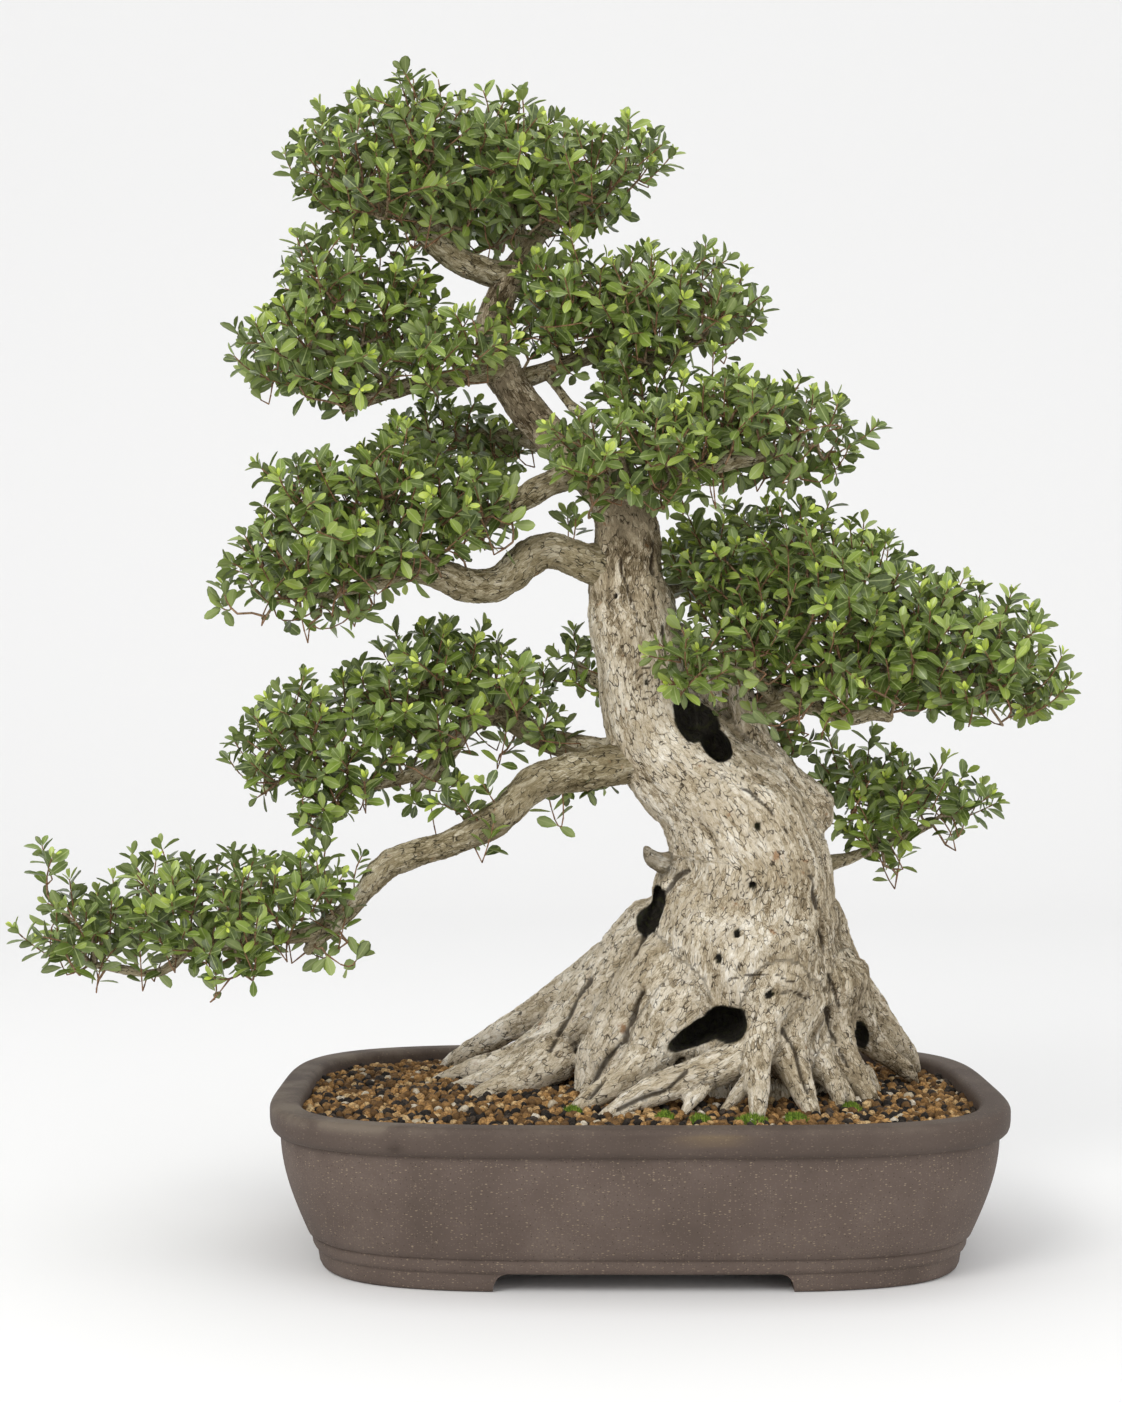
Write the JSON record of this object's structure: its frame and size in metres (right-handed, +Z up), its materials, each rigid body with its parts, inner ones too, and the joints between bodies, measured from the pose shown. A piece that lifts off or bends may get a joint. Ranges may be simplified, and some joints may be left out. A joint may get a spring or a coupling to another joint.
{
  "type": "bonsai tree in a pot",
  "caption": "Broadleaf bonsai with a flared, root-spreading trunk and pads of small glossy leaves, in a shallow unglazed clay pot with corner feet.",
  "frame": {"origin": "middle of the whole object's box, on the surface that the pot's feet stand on", "axes": "+Z up along the tree, +X to the right along the pot's long side, -Y to the front of the tree"},
  "size_m": [0.6424, 0.3356, 0.7095],
  "materials": {
    "pot": "unglazed, matt, with fine pale flecks",
    "soil": "loose fired-clay, lava and pumice grains",
    "trunk": "pale grey flaking bark",
    "branch": "grey-brown bark",
    "foliage": "glossy leaves on red-brown twigs",
    "drain_screen": "moulded plastic",
    "screen_clip": "anodised wire"
  },
  "bodies": {
    "root": {"pot": "pot", "soil": "soil", "trunk": "trunk", "drain_screen_left": "drain_screen", "drain_screen_right": "drain_screen", "screen_clip_left": "screen_clip", "screen_clip_right": "screen_clip", "branch_lowest_left": "branch", "branch_lower_left": "branch", "branch_middle_left": "branch", "branch_above_middle_left": "branch", "branch_upper_left": "branch", "crown_limb": "branch", "crown_leader": "branch", "branch_upper_right": "branch", "branch_right_middle": "branch", "branch_big_right": "branch", "branch_low_right": "branch", "branch_low_right_under": "branch", "branch_behind_left": "branch", "branch_back_right": "branch", "branch_back_left": "branch", "foliage_crown": "foliage", "foliage_upper_left": "foliage", "foliage_upper_front": "foliage", "foliage_upper_right": "foliage", "foliage_right_middle": "foliage", "foliage_back_left": "foliage", "foliage_middle_left": "foliage", "foliage_big_right": "foliage", "foliage_back_right": "foliage", "foliage_lower_left": "foliage", "foliage_lowest_left": "foliage", "foliage_low_right": "foliage", "foliage_behind_trunk": "foliage", "tuft_middle_left": "foliage", "tuft_under_lowest_branch": "foliage", "tuft_over_lowest_branch": "foliage", "tuft_low_right": "foliage"}
  },
  "joints": []
}
